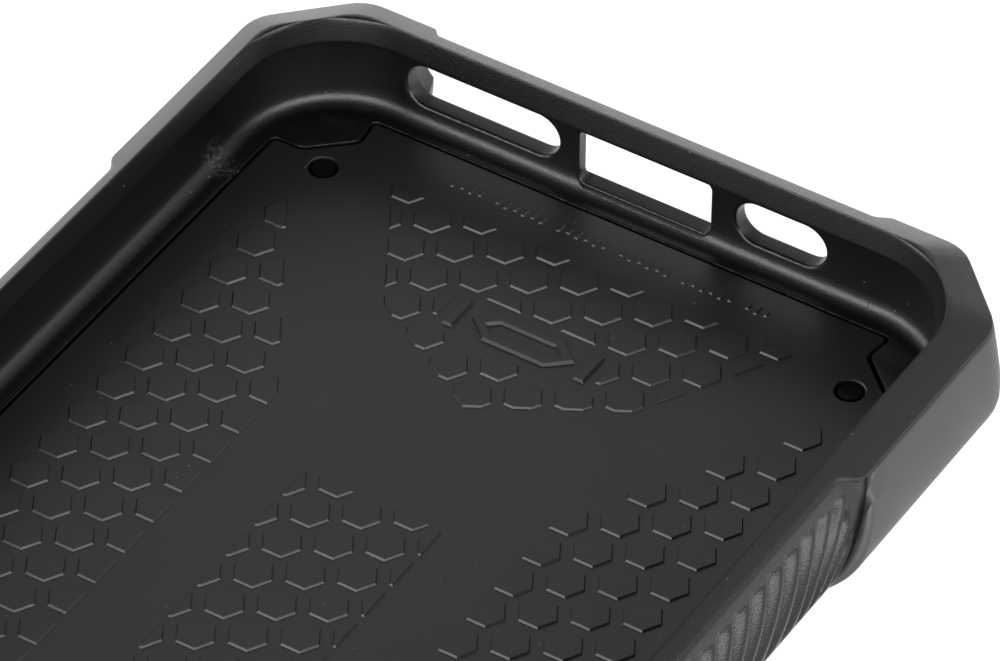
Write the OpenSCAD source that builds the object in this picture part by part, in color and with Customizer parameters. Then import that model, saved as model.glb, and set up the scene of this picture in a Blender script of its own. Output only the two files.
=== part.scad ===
// Rugged two-material phone case, lying on its back with the open side up.
// X runs across the phone, Y along it with the cameras at +Y and the connector
// at -Y, and Z out of the open side. The origin is the centre of the footprint,
// on the surface that the case lies on.

/* [Phone pocket] */
// Width of the space that the phone fills
pocket_w = 71.8; // [59:0.2:87]
// Length of the space that the phone fills
pocket_l = 147; // [122:0.5:177]
// Height of the space, from its floor to the underside of the lip
pocket_h = 7.8; // [6.6:0.1:10]
// Plan radius of the pocket's corners
pocket_r = 10.8; // [9:0.2:13]
// Radius of the fillet between the pocket's floor and its walls
floor_fillet = 1.8; // [1.4:0.1:2.2]

/* [Lip] */
// Thickness of the lip
lip_t = 2.7; // [2.2:0.1:3.2]
// Radius of the upper and lower edges of the lip's inner face
nose_r = 0.5; // [0.3:0.05:0.7]
// How far the lip reaches in over the phone at the sides
lip_reach_side = 1.4; // [1:0.05:1.8]
// How far the lip reaches in over the phone at the two ends
lip_reach_end = 1.4; // [1:0.05:1.8]
// Plan radius of the mouth's corners
mouth_r = 9.4; // [7:0.1:11]
// Width of the flat strip along the top of the lip
lip_flat = 0.25; // [0.1:0.05:0.4]
// Width of the bevel outside that strip, measured in plan
bevel_w = 3; // [2.4:0.1:3.6]
// How much wider the bevel is at the two ends and the corner faces
bevel_extra = 0.85; // [0.5:0.05:1.1]
// Height that the bevel drops over its width
bevel_h = 2; // [1.6:0.1:2.4]

/* [Bumper walls] */
// Thickness of the long walls
side_wall = 2.4; // [2:0.1:3]
// Thickness of the two end walls
end_wall = 1.9; // [1.6:0.1:2.4]
// Distance that the long walls lean in between mid height and the bevel
wall_lean = 1.5; // [1.1:0.1:1.8]
// Height of the upright part of the long walls' outer face above the resting surface
upright_top = 9.5; // [9:0.1:10.5]
// Radius of the rounded edge between the outer walls and the back
back_edge_r = 4.7; // [3.8:0.1:5.4]

/* [Side grips] */
// Distance between neighbouring grip grooves, along the wall
groove_pitch = 2.75; // [2.2:0.05:3.4]
// Depth of a grip groove
groove_depth = 0.5; // [0.3:0.05:0.6]
// Radius of the rounded cutter that leaves a groove
groove_r = 0.8; // [0.6:0.05:0.95]
// Lean of the grooves from upright, in degrees
groove_lean = 31; // [20:1:38]
// Length of each grip, from the lower corner armour up the side
grip_l = 50; // [38:1:56]

/* [Layers of the back] */
// Thickness of the armour plate at the back
plate_t = 1.8; // [1.6:0.1:2.4]
// Thickness of the soft web above the armour plate
web_t = 0.8; // [0.6:0.1:1.2]
// Thickness of the inner panel that the phone lies on
panel_t = 0.8; // [0.7:0.1:1.2]
// Depth of the recess for the inlay and the trims in the armour plate
recess_d = 1; // [0.9:0.1:1.1]
// Thickness of the inlay
inlay_t = 0.65; // [0.5:0.05:0.8]
// Thickness of the metal trims
trim_t = 0.9; // [0.8:0.05:0.9]

/* [Corner armour] */
// Thickness of the armour where it wraps the corners
armour_t = 1.5; // [1.2:0.1:1.8]
// How far the armour stands out from the long walls
proud_side = 1.1; // [0.9:0.1:1.3]
// How far the armour stands out from the end walls
proud_end = 1.8; // [1.5:0.1:2.1]
// Length of the armour's arms along the sides, from the end of the case
arm_side = 32.2; // [27:0.2:36]
// Length of the armour's arms along the ends, from the side of the case
arm_end = 17; // [14.5:0.2:17.6]
// Width of the corner cut that makes the plan eight-sided
corner_cut = 8.4; // [7.6:0.1:9.2]
// Height of the upright part of the armour's outer face above the resting surface
armour_upright = 8.6; // [8:0.1:9.6]

/* [Inner panel] */
// Distance between the panel's edge and the long wall of the pocket
panel_inset_side = 2.9; // [2.7:0.1:3.4]
// Distance between the panel's edge and the end wall of the pocket
panel_inset_end = 2.3; // [2.1:0.1:2.8]
// Size of the notch in each lower corner of the panel, across and along
notch = [6.9, 6.6];
// Gap between the panel's edge and the bumper
seam_gap = 0.1; // [0.05:0.05:0.2]

/* [Openings] */
// Width of the connector opening
port_w = 13.8; // [11:0.2:15]
// Height of the connector opening
port_h = 5.2; // [4.6:0.1:5.8]
// Distance from the middle of the case to the speaker slot's near end
speaker_x = 8.7; // [8.6:0.1:9.4]
// Length of the speaker slot
speaker_w = 16; // [12:0.2:16]
// Distance from the middle of the case to the microphone slot's near end
mic_x = 9.5; // [8.7:0.1:10.4]
// Length of the microphone slot
mic_w = 9.2; // [7:0.2:11]
// Height of the two slots
slot_h = 4.5; // [4.2:0.1:5]
// Height of the middle of the three openings above the pocket's floor
port_z = 4.2; // [3.9:0.1:4.5]
// Width of the camera opening
camera_w = 29.2; // [24:0.2:30]
// Length of the camera opening
camera_l = 30.8; // [25:0.2:31]
// Plan radius of the camera opening's corners
camera_r = 8; // [6:0.2:10]
// Distance of the camera opening's edges from the pocket's walls, across and along
camera_inset = [4.7, 3.7];
// Thickness of the guard's sleeve round the camera opening
sleeve_t = 0.8; // [0.6:0.1:0.9]
// Width of the guard's rim at the back
rim_w = 2; // [1.6:0.1:2.4]
// Length of the opening for the ring switch
switch_w = 11; // [9:0.2:12]
// Height of the opening for the ring switch
switch_h = 4.8; // [4.4:0.1:5.2]

/* [Buttons] */
// Height of the buttons' middle above the pocket's floor
button_z = 3.9; // [3.7:0.1:4.1]
// Height of a button's cap
button_h = 4; // [3.4:0.1:4.2]
// Length of each volume button's cap
volume_w = 10; // [8:0.2:11]
// Length of the side button's cap
power_w = 15; // [11:0.2:17]
// Distance of a cap's outer face from the wall's outer face
button_proud = 0.8; // [0.5:0.1:1]
// Width of the flange round a button's foot
flange = 0.7; // [0.5:0.05:0.9]
// Thickness of that flange
flange_t = 0.6; // [0.5:0.05:0.7]
// Travel of a button
travel = 0.4; // [0.3:0.05:0.5]
// Clearance round a button
button_gap = 0.2; // [0.15:0.05:0.3]
// Distances of the side openings from the pocket's camera end: switch, up, down, power
side_places = [33, 46.5, 59.5, 47.5];

/* [Screws] */
// Radius of the screw heads
head_r = 2; // [1.7:0.1:2.2]
// Radius of the screw shanks
shank_r = 0.8; // [0.7:0.05:0.9]
// Radius of the threaded inserts' bodies
insert_r = 1.8; // [1.6:0.1:2.1]
// Radius of the inserts' ends that show in the inner panel
insert_end_r = 1.05; // [1:0.05:1.2]
// Distance of the screws from the pocket's long walls
screw_inset = 8.75; // [8:0.05:9.5]
// Distance of the lower screws from the pocket's connector end
screw_low = 9.9; // [9:0.1:11]
// Distance of the upper screws from the pocket's camera end
screw_up = 45; // [42:0.5:48]
// Width of the metal trims, along the case
trim_w = 9; // [7.5:0.5:10]

/* [Hidden] */

$fn = 48;
eps = 0.01;
big = 400;
fit_gap = 0.05;
sqrt2 = sqrt(2);

// Heights above the resting surface
web_z = plate_t + web_t;
floor_z = web_z + panel_t;
lip_z = floor_z + pocket_h;
top_z = lip_z + lip_t;
crease_z = top_z - bevel_h;
port_mid_z = floor_z + port_z;
button_mid_z = floor_z + button_z;

// Half sizes in plan
pocket_x = pocket_w / 2;
pocket_y = pocket_l / 2;
wall_x = pocket_x + side_wall;
wall_y = pocket_y + end_wall;
armour_x = wall_x + proud_side;
armour_y = wall_y + proud_end;
core_x = armour_x - armour_t;
core_y = armour_y - armour_t;
nose_x = pocket_x - lip_reach_side + nose_r;
nose_y = pocket_y - lip_reach_end + nose_r;
flat_x = nose_x + lip_flat;
flat_y = nose_y + lip_flat;
crease_x = flat_x + bevel_w;
crease_y = flat_y + bevel_w + bevel_extra;
panel_x = pocket_x - panel_inset_side;
panel_y = pocket_y - panel_inset_end;

// Distance from the centre to each 45 degree corner face
armour_d = (armour_x + armour_y - corner_cut) / sqrt2;
core_d = armour_d - armour_t;
crease_d = armour_d - (armour_y - crease_y);
flat_d = crease_d - bevel_w - bevel_extra;
wall_d = core_d;

// Ends of the armour's arms
arm_y = armour_y - arm_side;
arm_x = armour_x - arm_end;

// Screws
screw_x = pocket_x - screw_inset;
low_y = -pocket_y + screw_low;
up_y = pocket_y - screw_up;
head_t = 0.55;
head_z = recess_d - trim_t + fit_gap;
shank_top_z = web_z + 0.3;
neck_gap = 0.3;

// Recess at the back, between the outer edges of the two trims
recess_x = panel_x - 2;
recess_cut = 4;
recess_low = low_y - trim_w / 2;
recess_high = up_y + trim_w / 2;

// Camera opening
camera_x = pocket_x - camera_inset[0] - camera_w / 2;
camera_y = pocket_y - camera_inset[1] - camera_l / 2;

// Buttons
step_x = pocket_x + travel + flange_t + 0.1;
cap_x = wall_x + button_proud;

// Half of a round edge's profile, from the back up to the upright face
function edge_arc(half, r) = [for (a = [0:15:90]) [half - r + r * sin(a), r - r * cos(a)]];

// Outer profiles as [half size, height] pairs, from the back to the top
function armour_profile(half, crease) =
    concat(edge_arc(half, back_edge_r), [[half, armour_upright], [crease, crease_z]]);
function lip_profile(crease, flat) =
    [[crease, plate_t], [crease, crease_z], [flat, top_z]];
function bevel_z(x, flat, width) = top_z - (x - flat) * bevel_h / width;

// A solid whose upright section along one direction is the given half profile
module profile_prism(profile, turn) {
    mirrored = [for (i = [len(profile) - 1:-1:0]) [-profile[i][0], profile[i][1]]];
    rotate([0, 0, turn])
        rotate([90, 0, 0])
            linear_extrude(height = big, center = true)
                polygon(concat(profile, mirrored));
}

// An eight-sided solid with its own profile at the sides, ends and corners
module barrel(side, end, corner) {
    intersection() {
        profile_prism(side, 0);
        profile_prism(end, 90);
        profile_prism(corner, 45);
        profile_prism(corner, -45);
    }
}

// A rectangle with rounded corners, drawn from its half sizes
module rounded_plan(half_x, half_y, r) {
    square([2 * half_x, 2 * (half_y - r)], center = true);
    square([2 * (half_x - r), 2 * half_y], center = true);
    for (sx = [-1, 1], sy = [-1, 1])
        translate([sx * (half_x - r), sy * (half_y - r)])
            circle(r);
}

module rounded_block(half_x, half_y, r, z0, z1) {
    translate([0, 0, z0])
        linear_extrude(height = z1 - z0)
            rounded_plan(half_x, half_y, r);
}

// A round bar that follows a rounded rectangle
module ring_bar(half_x, half_y, r, bar_r, z) {
    for (s = [-1, 1]) {
        translate([s * half_x, 0, z])
            rotate([90, 0, 0])
                cylinder(r = bar_r, h = 2 * (half_y - r), center = true);
        translate([0, s * half_y, z])
            rotate([0, 90, 0])
                cylinder(r = bar_r, h = 2 * (half_x - r), center = true);
    }
    for (q = [0:3]) {
        sx = (q == 0 || q == 3) ? 1 : -1;
        sy = (q < 2) ? 1 : -1;
        translate([sx * (half_x - r), sy * (half_y - r), z])
            rotate([0, 0, 90 * q])
                rotate_extrude(angle = 90)
                    translate([r, 0])
                        circle(bar_r);
    }
}

// Keeps a child in the four places where the armour wraps a corner
module corner_zones(inset_x, inset_y) {
    for (sx = [-1, 1], sy = [-1, 1])
        scale([sx, sy, 1])
            translate([inset_x, inset_y, -eps])
                cube([big, big, top_z + 1]);
}

// The space that the phone fills, with its rounded floor edge
module pocket_space() {
    rounded_block(pocket_x, pocket_y, pocket_r, floor_z + floor_fillet, lip_z);
    rounded_block(pocket_x - floor_fillet, pocket_y - floor_fillet,
        pocket_r - floor_fillet, floor_z, lip_z);
    ring_bar(pocket_x - floor_fillet, pocket_y - floor_fillet,
        pocket_r - floor_fillet, floor_fillet, floor_z + floor_fillet);
}

// Outline of the inner panel, grown by g, with notched lower corners
module panel_plan(g) {
    x = panel_x + g;
    y = panel_y + g;
    low = [
        [x, -panel_y + notch[1] - g],
        [x - notch[0] * 0.42, -panel_y + notch[1] - g],
        [x - notch[0], -panel_y + notch[1] * 0.45 - g],
        [x - notch[0] * 0.93, -y]
    ];
    cut = 3;
    polygon(concat(
        [[x, y - cut], low[0], low[1], low[2], low[3]],
        [for (i = [3:-1:0]) [-low[i][0], low[i][1]]],
        [[-x, y - cut], [-x + cut, y], [x - cut, y]]
    ));
}

module camera_block(grow, z0, z1) {
    translate([camera_x, camera_y, 0])
        rounded_block(camera_w / 2 + grow, camera_l / 2 + grow, camera_r + grow, z0, z1);
}

// A slot through an end wall, lying along X, with round ends
module end_slot(x0, w, h, y_in, y_out) {
    translate([x0 + h / 2, -y_in, port_mid_z])
        rotate([90, 0, 0])
            linear_extrude(height = y_out - y_in) {
                circle(h / 2);
                translate([w - h, 0])
                    circle(h / 2);
                translate([0, -h / 2])
                    square([w - h, h]);
            }
}

module port_block(w, h, y_in, y_out) {
    translate([0, -(y_in + y_out) / 2, port_mid_z])
        cube([w, y_out - y_in, h], center = true);
}

// Openings at the connector end, cut through the bumper and the armour's arms
module connector_openings(grow) {
    y_in = nose_y - nose_r;
    y_out = armour_y + 1;
    port_block(port_w + 2 * grow, port_h + 2 * grow, y_in, y_out);
    end_slot(speaker_x - grow, speaker_w + 2 * grow, slot_h + 2 * grow, y_in, y_out);
    end_slot(-mic_x - mic_w - grow, mic_w + 2 * grow, slot_h + 2 * grow, y_in, y_out);
}

// A block that reaches through a side wall; side is -1 or 1
module side_block(side, place, w, h, x0, x1) {
    translate([side * (x0 + x1) / 2, pocket_y - place, button_mid_z])
        cube([x1 - x0, w, h], center = true);
}

module button_window(side, place, w) {
    grown = 2 * button_gap;
    side_block(side, place, w + grown, button_h + grown, pocket_x - 1, wall_x + 1);
    side_block(side, place, w + 2 * flange + grown, button_h + 2 * flange + grown,
        pocket_x - 1, step_x);
}

// Leaning grooves along one side wall
module grip_grooves(side) {
    start = -arm_y + groove_pitch;
    count = floor((grip_l - groove_pitch) / groove_pitch);
    reach = upright_top - back_edge_r + 4;
    for (i = [0:count - 1])
        translate([side * (wall_x - groove_depth + groove_r), start + i * groove_pitch,
                (upright_top + back_edge_r) / 2])
            rotate([-groove_lean, 0, 0])
                cylinder(r = groove_r, h = reach, center = true);
}

// The bumper's outer shape: eight-sided under the armour, full width between
module bumper_body() {
    difference() {
        union() {
            intersection() {
                barrel(
                    [[core_x, plate_t], [core_x, crease_z]],
                    [[core_y, plate_t], [core_y, crease_z]],
                    [[core_d, plate_t], [core_d, crease_z]]
                );
                bumper_reach(0);
            }
            intersection() {
                barrel(
                    concat(edge_arc(wall_x, back_edge_r), [[wall_x, upright_top],
                        [wall_x - wall_lean, bevel_z(wall_x - wall_lean, flat_x, bevel_w)],
                        [flat_x, top_z]]),
                    concat(edge_arc(wall_y, back_edge_r),
                        [[wall_y, bevel_z(wall_y, flat_y, bevel_w + bevel_extra)], [flat_y, top_z]]),
                    [[wall_d, 0], [wall_d, crease_z], [flat_d, top_z]]
                );
                difference() {
                    translate([0, 0, top_z / 2])
                        cube([big, big, top_z], center = true);
                    corner_zones(arm_x - fit_gap, arm_y - fit_gap);
                }
            }
            intersection() {
                barrel(
                    lip_profile(crease_x, flat_x),
                    lip_profile(crease_y, flat_y),
                    lip_profile(crease_d, flat_d)
                );
                corner_zones(arm_x - fit_gap, arm_y - fit_gap);
                translate([0, 0, crease_z + big / 2])
                    cube([big, big, big], center = true);
            }
        }
        translate([0, 0, plate_t / 2 - eps])
            cube([big, big, plate_t + 2 * eps], center = true);
    }
}

// The part of the core that lies above the armour plate
module bumper_reach(inset) {
    translate([0, 0, (plate_t + crease_z) / 2])
        cube([big, big, crease_z - plate_t - 2 * inset], center = true);
}

module bumper() {
    color("#2b2d2f") {
        difference() {
            bumper_body();
            pocket_space();
            rounded_block(nose_x - nose_r, nose_y - nose_r, mouth_r, lip_z - eps, top_z + 1);
            for (z = [lip_z - nose_r, top_z - nose_r])
                rounded_block(nose_x, nose_y, mouth_r + nose_r, z, z + 2 * nose_r);
            translate([0, 0, web_z])
                linear_extrude(height = floor_z - web_z + eps)
                    panel_plan(seam_gap);
            camera_block(sleeve_t + fit_gap, 0, top_z - lip_t);
            for (sx = [-1, 1], y = [low_y, up_y])
                translate([sx * screw_x, y, 0])
                    cylinder(r = insert_r + fit_gap, h = floor_z);
            connector_openings(0);
            port_block(port_w + 4.4, port_h + 1.6, pocket_y + end_wall * 0.35, armour_y);
            side_block(-1, side_places[0], switch_w, switch_h, pocket_x - 1, armour_x);
            button_window(-1, side_places[1], volume_w);
            button_window(-1, side_places[2], volume_w);
            button_window(1, side_places[3], power_w);
            grip_grooves(-1);
            grip_grooves(1);
        }
        for (z = [lip_z + nose_r, top_z - nose_r])
            ring_bar(nose_x, nose_y, mouth_r + nose_r, nose_r, z);
    }
}

module inner_panel() {
    color("#26282a")
        difference() {
            translate([0, 0, web_z])
                linear_extrude(height = panel_t)
                    panel_plan(0);
            camera_block(sleeve_t + fit_gap, 0, floor_z + 1);
            for (sx = [-1, 1], y = [low_y, up_y])
                translate([sx * screw_x, y, 0])
                    cylinder(r = insert_end_r + neck_gap, h = floor_z + 1);
        }
}

// Outline shared by the recess in the armour, the inlay and the two trims
module recess_plan(g) {
    x = recess_x - g;
    y0 = recess_low + g;
    y1 = recess_high - g;
    c = recess_cut;
    polygon([
        [x, y0 + c], [x, y1 - c], [x - c, y1], [-x + c, y1],
        [-x, y1 - c], [-x, y0 + c], [-x + c, y0], [x - c, y0]
    ]);
}

module back_shell() {
    color("#55575a")
        difference() {
            barrel(
                armour_profile(armour_x, crease_x),
                armour_profile(armour_y, crease_y),
                armour_profile(armour_d, crease_d)
            );
            intersection() {
                barrel(
                    [[core_x, plate_t], [core_x, crease_z + 1]],
                    [[core_y, plate_t], [core_y, crease_z + 1]],
                    [[core_d, plate_t], [core_d, crease_z + 1]]
                );
                translate([0, 0, plate_t + big / 2])
                    cube([big, big, big], center = true);
            }
            difference() {
                translate([-big / 2, -big / 2, plate_t])
                    cube([big, big, big]);
                corner_zones(arm_x, arm_y);
            }
            difference() {
                translate([-big / 2, -big / 2, -1])
                    cube([big, big, big]);
                corner_zones(arm_x, arm_y);
                translate([-wall_x + 2, -big / 2, -2])
                    cube([2 * wall_x - 4, big, big]);
            }
            difference() {
                translate([-big / 2, -big / 2, -1])
                    cube([big, big, big]);
                corner_zones(arm_x, arm_y);
                translate([-big / 2, -wall_y + 2, -2])
                    cube([big, 2 * wall_y - 4, big]);
            }
            camera_block(rim_w + fit_gap, -1, plate_t + 1);
            translate([0, 0, -1])
                linear_extrude(height = recess_d + 1)
                    recess_plan(0);
            for (sx = [-1, 1], y = [low_y, up_y])
                translate([sx * screw_x, y, 0])
                    cylinder(r = shank_r + 0.2, h = plate_t + 1);
            connector_openings(0.6);
        }
}

module back_inlay() {
    color("#3a3c3f")
        translate([0, 0, recess_d - inlay_t])
            linear_extrude(height = inlay_t)
                intersection() {
                    recess_plan(seam_gap);
                    translate([-big / 2, recess_low + trim_w + seam_gap])
                        square([big, recess_high - recess_low - 2 * trim_w - 2 * seam_gap]);
                }
}

module camera_guard() {
    color("#4b4d50")
        difference() {
            union() {
                camera_block(rim_w, 0, plate_t);
                camera_block(sleeve_t, plate_t - eps, floor_z - 0.1);
            }
            camera_block(0, -1, floor_z + 1);
        }
}

// A metal bar across one end of the recess; y0 is its lower edge
module trim_bar(y0) {
    color("#8d9094")
        difference() {
            translate([0, 0, recess_d - trim_t])
                linear_extrude(height = trim_t)
                    intersection() {
                        recess_plan(seam_gap);
                        translate([-big / 2, y0])
                            square([big, trim_w]);
                    }
            for (sx = [-1, 1])
                translate([sx * screw_x, y0 + trim_w / 2, 0]) {
                    cylinder(r = head_r + 0.1, h = head_z + head_t);
                    cylinder(r = shank_r + 0.1, h = plate_t);
                }
        }
}

module upper_trim() {
    trim_bar(recess_high - trim_w);
}

module lower_trim() {
    trim_bar(recess_low);
}

// A low-headed screw with a hexagon socket, put in from the back
module screw(x, y) {
    socket_r = 0.9;
    color("#b9bcc0")
        translate([x, y, 0])
            difference() {
                union() {
                    translate([0, 0, head_z])
                        cylinder(r = head_r, h = head_t);
                    translate([0, 0, head_z + head_t - eps])
                        cylinder(r = shank_r, h = shank_top_z - head_z - head_t + eps);
                }
                translate([0, 0, head_z - eps])
                    cylinder(r = socket_r, h = head_t * 0.7, $fn = 6);
            }
}

// A flanged insert that takes a screw, with its closed end in the panel
module insert(x, y) {
    color("#1d1e20")
        translate([x, y, 0])
            difference() {
                union() {
                    translate([0, 0, plate_t])
                        cylinder(r = insert_r, h = web_t);
                    translate([0, 0, web_z - eps])
                        cylinder(r = insert_end_r, h = panel_t - 0.08);
                }
                translate([0, 0, plate_t - eps])
                    cylinder(r = shank_r + 0.02, h = shank_top_z - plate_t + 0.05);
            }
}

// A cap with a flange behind the wall that keeps it from falling out
module button(side, place, w) {
    color("#3c3e41") {
        side_block(side, place, w, button_h, step_x - 0.1 - eps, cap_x);
        side_block(side, place, w + 2 * flange, button_h + 2 * flange,
            step_x - 0.1 - flange_t, step_x - 0.1);
    }
}

module volume_up_button() {
    button(-1, side_places[1], volume_w);
}

module volume_down_button() {
    button(-1, side_places[2], volume_w);
}

module side_button() {
    button(1, side_places[3], power_w);
}

bumper();
inner_panel();
back_shell();
back_inlay();
camera_guard();
upper_trim();
lower_trim();
screw(-screw_x, up_y);  // upper_left_screw
screw(screw_x, up_y);  // upper_right_screw
screw(-screw_x, low_y);  // lower_left_screw
screw(screw_x, low_y);  // lower_right_screw
insert(-screw_x, up_y);  // upper_left_insert
insert(screw_x, up_y);  // upper_right_insert
insert(-screw_x, low_y);  // lower_left_insert
insert(screw_x, low_y);  // lower_right_insert
volume_up_button();
volume_down_button();
side_button();
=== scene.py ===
import math
import random

import bmesh
import bpy
import numpy as np
from mathutils import Matrix, Vector
from mathutils.geometry import tessellate_polygon


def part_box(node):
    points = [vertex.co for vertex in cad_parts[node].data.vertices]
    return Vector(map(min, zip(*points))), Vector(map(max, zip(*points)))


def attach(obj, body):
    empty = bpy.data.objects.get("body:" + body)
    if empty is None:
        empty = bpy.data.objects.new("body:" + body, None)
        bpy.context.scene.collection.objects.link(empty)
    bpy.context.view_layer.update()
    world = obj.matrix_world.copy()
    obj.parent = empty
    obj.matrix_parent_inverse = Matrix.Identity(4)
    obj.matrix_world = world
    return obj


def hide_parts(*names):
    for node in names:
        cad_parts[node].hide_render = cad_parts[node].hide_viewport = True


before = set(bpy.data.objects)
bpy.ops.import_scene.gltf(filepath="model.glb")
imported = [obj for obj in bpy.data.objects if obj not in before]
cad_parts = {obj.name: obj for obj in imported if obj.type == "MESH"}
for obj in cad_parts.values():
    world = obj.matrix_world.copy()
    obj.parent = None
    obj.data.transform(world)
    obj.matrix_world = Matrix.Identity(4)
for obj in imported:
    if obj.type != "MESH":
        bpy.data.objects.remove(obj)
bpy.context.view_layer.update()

# Everything below is worked out in millimetres and turned into metres when a mesh is made.
MM = 0.001
rng = random.Random(7)


def box_mm(node):
    low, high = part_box(node)
    return low / MM, high / MM


# ---------------------------------------------------------------- sizes from the frame

bumper_low, bumper_high = box_mm("bumper")
shell_low, shell_high = box_mm("back_shell")
panel_low, panel_high = box_mm("inner_panel")
guard_low, guard_high = box_mm("camera_guard")
inlay_low, inlay_high = box_mm("back_inlay")
trim_low, trim_high = box_mm("lower_trim")
upper_trim_low, upper_trim_high = box_mm("upper_trim")

ARMOUR_X, ARMOUR_Y = shell_high.x, shell_high.y
CREASE_Z = shell_high.z
TOP_Z = bumper_high.z
FLOOR_Z = panel_high.z
PLATE_Z = bumper_low.z
PANEL_X, PANEL_Y = panel_high.x, panel_high.y

# ---------------------------------------------------------------- sizes of the design

PANEL_INSET = (2.9, 2.3)
POCKET_X = PANEL_X + PANEL_INSET[0]
POCKET_Y = PANEL_Y + PANEL_INSET[1]
POCKET_R = 10.8
FILLET_R = 1.8
LIP_T = 2.7
LIP_REACH = 1.4
NOSE_R = 0.5
LIP_SLANT = 0.65
MOUTH_R = 9.4
LIP_FLAT = 0.25
BEVEL = (3.0, TOP_Z - CREASE_Z)
BEVEL_EXTRA = 0.85
WALL = (2.4, 1.9)
WALL_LEAN = 1.5
EDGE_R = 4.7
ARM = (32.2, 17.0)
CORNER_CUT = 8.4
PLAN_ROUND = 4.2
ARMOUR_T = 1.5

LIP_Z = TOP_Z - LIP_T
WALL_X, WALL_Y = POCKET_X + WALL[0], POCKET_Y + WALL[1]
MOUTH_X, MOUTH_Y = POCKET_X - LIP_REACH, POCKET_Y - LIP_REACH
FLAT_X = MOUTH_X + NOSE_R + LIP_FLAT
FLAT_Y = MOUTH_Y + NOSE_R + LIP_FLAT
CREASE_X, CREASE_Y = FLAT_X + BEVEL[0], FLAT_Y + BEVEL[0] + BEVEL_EXTRA
ROOT2 = math.sqrt(2)
ARMOUR_D = (ARMOUR_X + ARMOUR_Y - CORNER_CUT) / ROOT2
CREASE_D = ARMOUR_D - (ARMOUR_Y - CREASE_Y)
FLAT_D = CREASE_D - BEVEL[0] - BEVEL_EXTRA
ARM_Y, ARM_X = ARMOUR_Y - ARM[0], ARMOUR_X - ARM[1]

GROOVE_PITCH = 2.75
GROOVE_DEPTH = 0.85
GROOVE_LEAN = math.radians(31)
GRIP_END = -ARM_Y + 46.5

# ---------------------------------------------------------------- mesh helpers


def new_object(name, vertices, faces, sharp=35):
    """A mesh object from points in millimetres, smooth but for its sharp edges."""
    mesh = bpy.data.meshes.new(name)
    mesh.from_pydata([tuple(c * MM for c in v) for v in vertices], [], faces)
    mesh.validate()
    work = bmesh.new()
    work.from_mesh(mesh)
    bmesh.ops.recalc_face_normals(work, faces=work.faces)
    work.to_mesh(mesh)
    work.free()
    mesh.shade_smooth()
    mesh.set_sharp_from_angle(angle=math.radians(sharp))
    obj = bpy.data.objects.new(name, mesh)
    bpy.context.scene.collection.objects.link(obj)
    return obj


def smooth_step(x, low, high):
    t = np.clip((np.asarray(x, float) - low) / (high - low), 0, 1)
    return t * t * (3 - 2 * t)


def mix(a, b, t):
    return a + (b - a) * t


def soft_corner(before, corner, after, radius, count):
    """Points round a corner of many polylines at once, each array being stations by 2."""
    to_before, to_after = before - corner, after - corner
    len_b = np.linalg.norm(to_before, axis=1, keepdims=True) + 1e-9
    len_a = np.linalg.norm(to_after, axis=1, keepdims=True) + 1e-9
    start = corner + to_before / len_b * np.minimum(radius, 0.48 * len_b)
    end = corner + to_after / len_a * np.minimum(radius, 0.48 * len_a)
    t = np.linspace(0, 1, count)[None, :, None]
    return (1 - t) ** 2 * start[:, None] + 2 * t * (1 - t) * corner[:, None] + t**2 * end[:, None]


def even_points(lines, count):
    """The same polylines with their points spread evenly."""
    out = np.empty((len(lines), count, 2))
    for i, line in enumerate(lines):
        steps = np.r_[0, np.cumsum(np.linalg.norm(np.diff(line, axis=0), axis=1))]
        where = np.linspace(0, steps[-1], count)
        out[i, :, 0] = np.interp(where, steps, line[:, 0])
        out[i, :, 1] = np.interp(where, steps, line[:, 1])
    return out


# ---------------------------------------------------------------- the way round the case


def spaced(low, high, coarse, fine_zones):
    """Positions from low to high, closer together inside the fine zones (low, high, step)."""
    marks = {round(low, 4), round(high, 4)}
    marks.update(np.round(np.linspace(low, high, max(2, round((high - low) / coarse) + 1)), 4))
    for a, b, step in fine_zones:
        if b > low and a < high:
            a, b = max(a, low), min(b, high)
            marks.update(np.round(np.linspace(a, b, max(2, round((b - a) / step) + 1)), 4))
    kept = []
    for m in sorted(marks):
        if not kept or m - kept[-1] > 0.12:
            kept.append(m)
    kept[-1] = high
    return kept


def make_stations():
    """Points on the pocket's wall, anticlockwise from above, with their outward directions."""
    side_y, end_x = POCKET_Y - POCKET_R, POCKET_X - POCKET_R
    arm_zones = [(s * ARM_Y - 3.2, s * ARM_Y + 3.2, 0.2) for s in (-1, 1)]
    grip_zone = [(-ARM_Y - 1, GRIP_END + 1, 0.23)]
    sides = spaced(-side_y, side_y, 2.5, arm_zones + grip_zone)
    ends = spaced(-end_x, end_x, 2.5, [(s * ARM_X - 2.4, s * ARM_X + 2.4, 0.2) for s in (-1, 1)])
    base, out = [], []

    def corner(cx, cy, start):
        for k in range(1, 28):
            a = start + k / 28 * math.pi / 2
            out.append((math.cos(a), math.sin(a)))
            base.append((cx + POCKET_R * math.cos(a), cy + POCKET_R * math.sin(a)))

    for y in sides:
        base.append((POCKET_X, y))
        out.append((1, 0))
    corner(end_x, side_y, 0)
    for x in reversed(ends):
        base.append((x, POCKET_Y))
        out.append((0, 1))
    corner(-end_x, side_y, math.pi / 2)
    for y in reversed(sides):
        base.append((-POCKET_X, y))
        out.append((-1, 0))
    corner(-end_x, -side_y, math.pi)
    for x in ends:
        base.append((x, -POCKET_Y))
        out.append((0, -1))
    corner(end_x, -side_y, 1.5 * math.pi)
    return np.array(base), np.array(out, float)


BASE, OUT = make_stations()
COUNT = len(BASE)


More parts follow.
